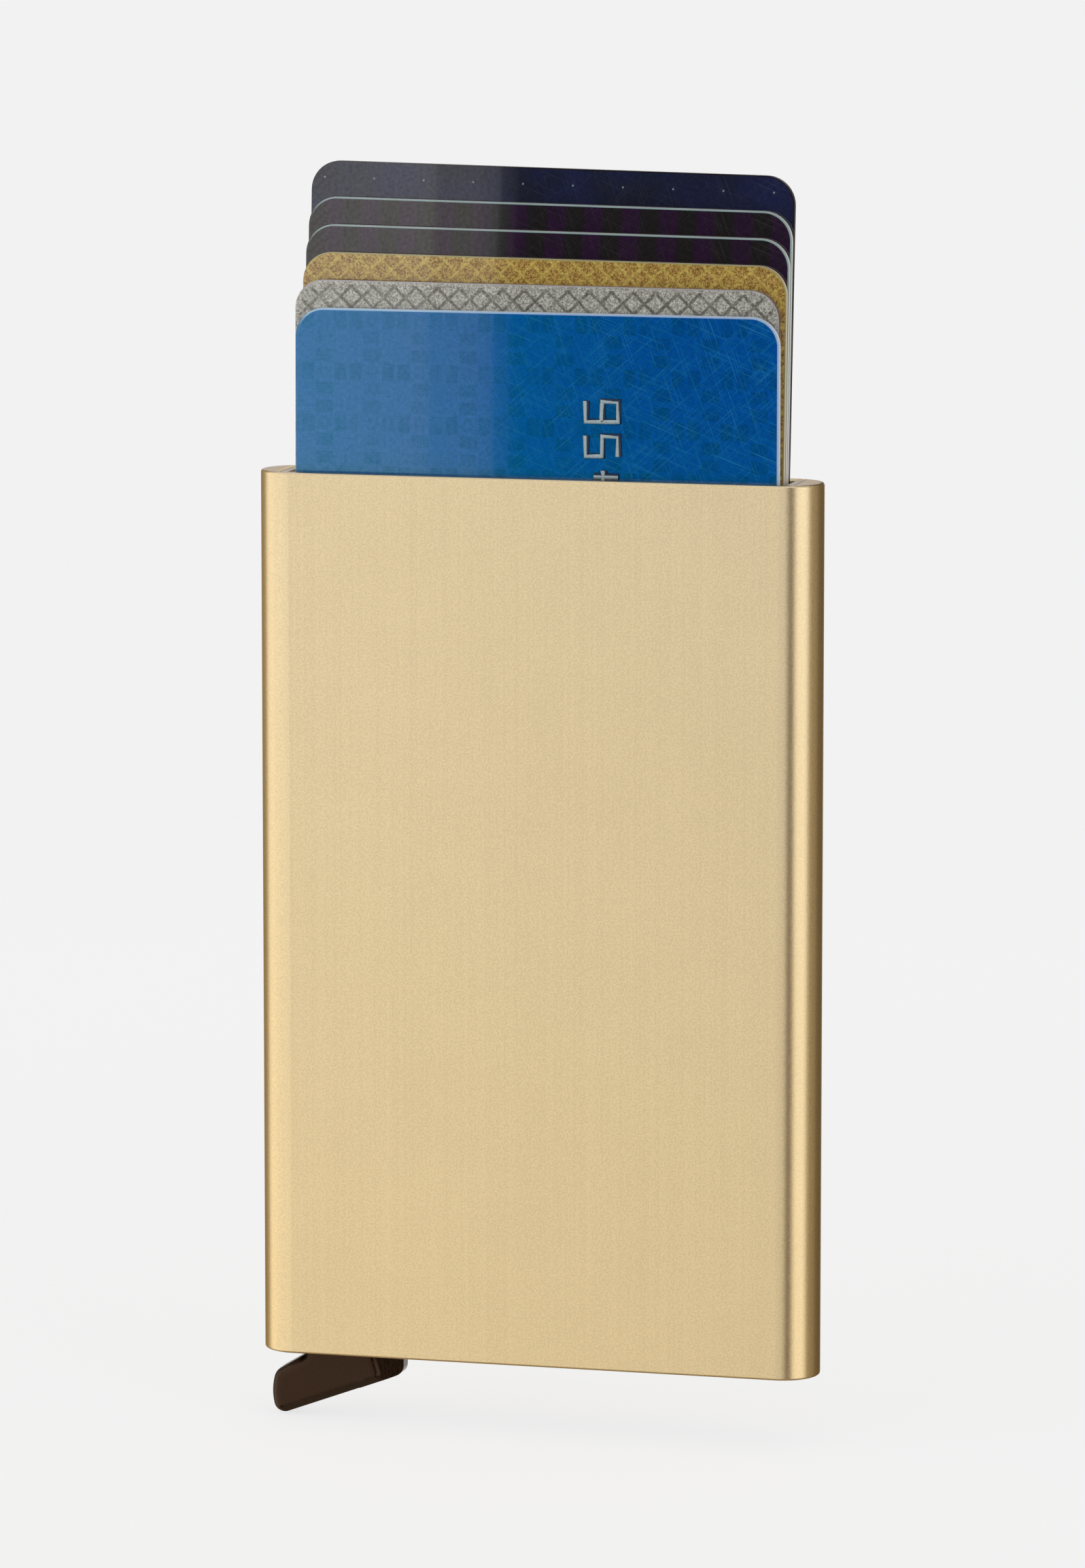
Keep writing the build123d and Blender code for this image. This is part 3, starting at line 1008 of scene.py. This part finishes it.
floor_finish = new_finish("floor_pale")
x, y, _ = floor_finish.parts(floor_finish.node("TexCoord", {}, {}, "Object"))
near = 1.0 - x.beside(y).rise(*shadow_reach)
floor_finish.surface({"Base Color": floor_white, "Roughness": 1.0, "Specular IOR Level": 0.0})
shader = Value(floor_finish, floor_finish.tree.nodes["Principled BSDF"].outputs[0])
glow = floor_finish.node("Emission", {}, {"Color": floor_finish.mix(near, backdrop_pale, near_pale)})
shown = studio_rays(floor_finish) * (1.0 - near * shadow_share)
blend = floor_finish.node("MixShader", {}, {0: shown, 1: shader, 2: glow})
floor_finish.feed(floor_finish.tree.nodes["Material Output"].inputs["Surface"], blend)
floor = studio_sheet("floor", level_corners(floor_reach, floor_height), one_face, floor_finish)
floor.visible_glossy = False

black = dark_finish("screen_black", black_light)
deep_brown = dark_finish("screen_deep_brown", deep_brown_light, board_deep_brown)
grey = dark_finish("screen_grey", grey_light)
mid_grey = dark_finish("screen_mid_grey", mid_grey_light)
under_corners = level_corners(under_screen_reach, under_screen_height)
gloss_only(studio_sheet("under_screen", under_corners, one_face, mid_grey))

# First and last direction in degrees, height, distance and radiance
soft_lamp("left_lamp", -100, -16.05, left_lamp_height, lamp_distance, 0.95)
soft_lamp("left_lamp_border", -16.05, -15.25, left_lamp_height, lamp_border_distance, 0.6)
soft_lamp("left_lamp_rim", -15.25, -15.05, left_lamp_height, lamp_border_distance, 0.15)
soft_lamp("right_lamp", 39.5, 84.5, right_lamp_height, lamp_distance, 1.2)

# First and last direction in degrees, and finish
dark_screen("camera_side_screen", 18, 40.5, deep_brown)
dark_screen("right_screen", 40.5, 84.5, grey)
dark_screen("right_rear_screen", 84.5, 125, mid_grey)
near_board("right_near_board", near_board_start, near_board_end, *near_board_span, grey)
near_board("card_near_board", near_board_start, card_board_end, near_board_span[1], card_board_top, grey)
dark_screen("left_screen", -65, -15.4, grey)
dark_screen("left_side_screen", -95, -65, mid_grey)
dark_screen("left_rear_screen", -150, -95, mid_grey)
dark_screen("far_screen", -17.5, -9.5, black, far_screen_span, far_screen_distance)

# Camera
# Stands a little to the right and a little above, with a long lens, and looks at a point just
# above the middle of the case. Its focal length is written as picture heights.

camera_turn = 14.7526
camera_rise = 8.2693
camera_distance = 0.85955
aim_right = 0.00021
aim_height = 0.01514
mid_depth = -0.0041
focal_heights = 11585 / 2307
sensor = 36.0
nearest_seen = 0.01

camera_data = bpy.data.cameras.new("camera")
camera_data.sensor_fit = "VERTICAL"
camera_data.sensor_height = sensor
camera_data.lens = focal_heights * sensor
camera_data.clip_start = nearest_seen
camera = bpy.data.objects.new("camera", camera_data)
bpy.context.scene.collection.objects.link(camera)
right = direction(camera_turn + 90)
aim = right * aim_right + Vector((0, mid_depth, aim_height))
camera.matrix_world = looking_at(aim, direction(camera_turn, camera_rise), camera_distance)
bpy.context.scene.camera = camera
bpy.context.scene.view_settings.view_transform = "Standard"
